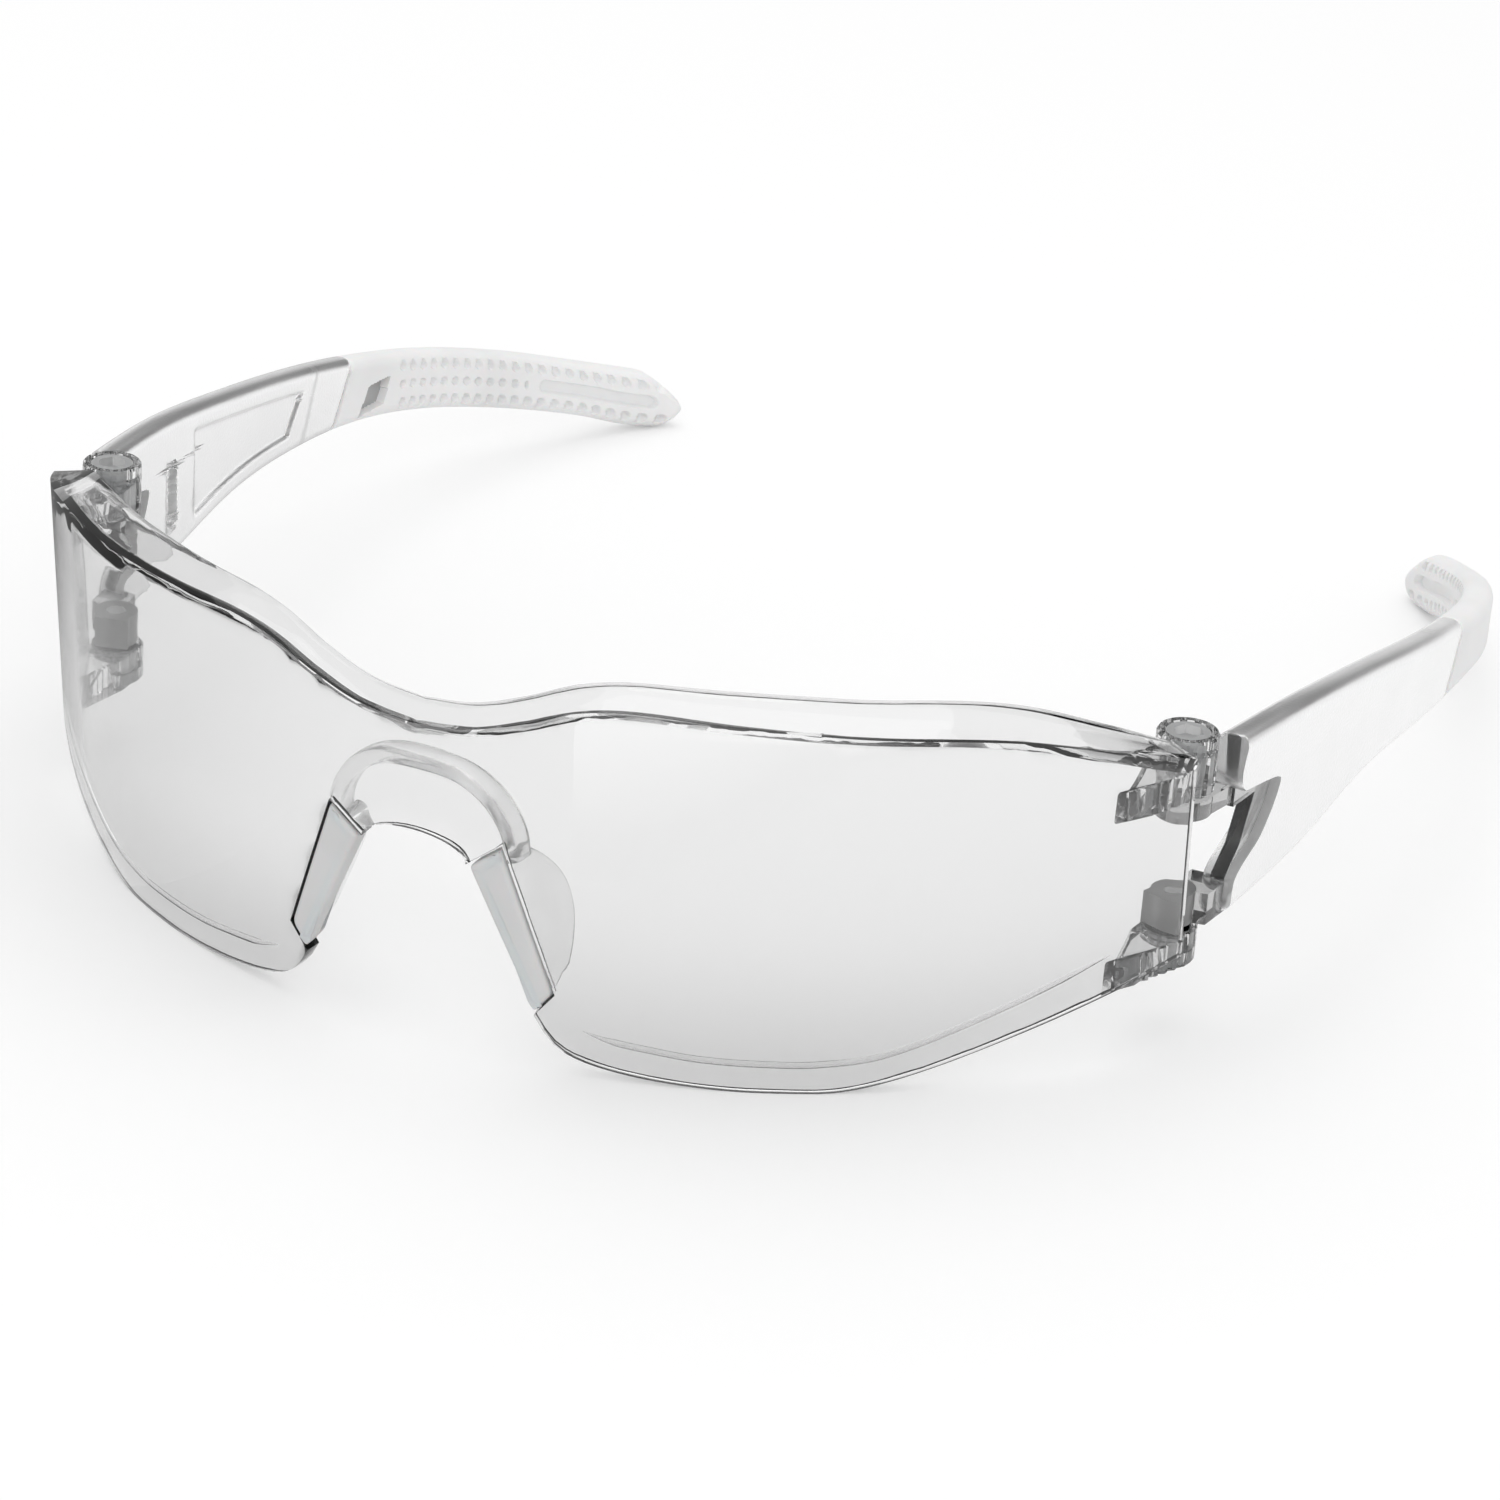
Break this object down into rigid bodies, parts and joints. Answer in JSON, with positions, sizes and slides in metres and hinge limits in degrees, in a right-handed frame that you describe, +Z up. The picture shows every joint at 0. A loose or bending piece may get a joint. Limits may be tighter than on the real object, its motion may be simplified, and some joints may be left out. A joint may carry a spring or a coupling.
{
  "type": "safety glasses",
  "caption": "Clear wraparound safety glasses with a one-piece lens, a soft nose piece and folding temples with soft dimpled tips.",
  "frame": {"origin": "middle of the box around the glasses with the temples open, on the surface that they rest on", "axes": "+X to the wearer's left, +Y from the lens back to the temple tips, +Z up; the wearer faces -Y"},
  "size_m": [0.1584, 0.184, 0.0476],
  "materials": {
    "clear_polycarbonate": "clear polished polycarbonate",
    "clear_nylon": "clear moulded nylon",
    "frosted_nylon": "frosted translucent nylon",
    "clear_soft_pvc": "clear soft moulded nose piece",
    "frosted_soft_pvc": "frosted soft moulded grips",
    "white_rubber": "white soft-touch rubber with dimples"
  },
  "bodies": {
    "front": {"lens_shield": "clear_polycarbonate", "nose_saddle": "clear_soft_pvc", "nose_grip_left": "frosted_soft_pvc", "nose_grip_right": "frosted_soft_pvc", "hinge_pin_upper_left": "clear_nylon", "hinge_pin_upper_right": "clear_nylon", "hinge_pin_lower_left": "clear_nylon", "hinge_pin_lower_right": "clear_nylon"},
    "temple_left": {"hinge_knuckle_left": "frosted_nylon", "temple_core_left": "clear_nylon", "temple_sleeve_left": "frosted_nylon", "temple_tip_left": "white_rubber"},
    "temple_right": {"hinge_knuckle_right": "frosted_nylon", "temple_core_right": "clear_nylon", "temple_sleeve_right": "frosted_nylon", "temple_tip_right": "white_rubber"}
  },
  "joints": [
    {"name": "temple_fold_left", "type": "hinge", "parent": "front", "child": "temple_left", "pos_m": [0.0682, -0.04097, 0.02], "axis": [0, 0, 1], "range_deg": [0, 90]},
    {"name": "temple_fold_right", "type": "hinge", "parent": "front", "child": "temple_right", "pos_m": [-0.0682, -0.04097, 0.02], "axis": [0, 0, -1], "range_deg": [0, 82]}
  ]
}
